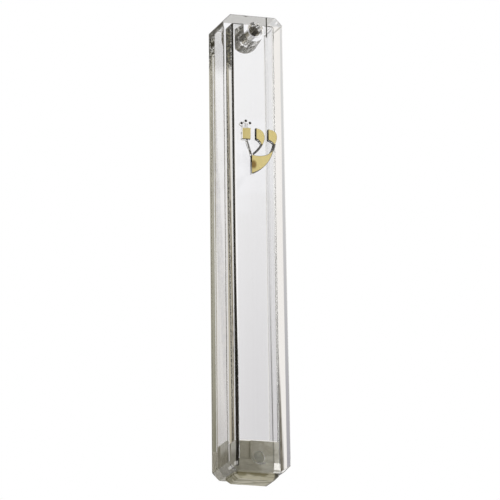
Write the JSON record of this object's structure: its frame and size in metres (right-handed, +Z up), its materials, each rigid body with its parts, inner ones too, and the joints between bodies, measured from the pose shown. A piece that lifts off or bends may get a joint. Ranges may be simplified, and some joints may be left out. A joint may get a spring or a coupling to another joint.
{
  "type": "mezuzah case",
  "caption": "Clear moulded door-post case for a rolled parchment, with clipped corners, a gold relief Shin and a soft grey plug in its open lower end.",
  "frame": {"origin": "centre of the flat back face that lies against the door post", "axes": "+Z up along the case, away from its open mouth; +Y out of the back face into the door post, so the front with the letter faces -Y; +X to the right as the front is seen"},
  "size_m": [0.0166, 0.0135, 0.1215],
  "materials": {
    "clear_plastic": "clear, glossy, moulded",
    "grey_plug": "translucent grey, satin",
    "gold_foil": "bright hot-stamped foil"
  },
  "bodies": {
    "case": {"case_body": "clear_plastic", "shin_foil_left_head": "gold_foil", "shin_foil_middle_head": "gold_foil", "shin_foil_right_head": "gold_foil", "shin_foil_base": "gold_foil"},
    "plug": {"bottom_plug": "grey_plug"}
  },
  "joints": [
    {"name": "plug_pull", "type": "slide", "parent": "case", "child": "plug", "axis": [0, 0, -1], "range_m": [0, 0.03]}
  ]
}
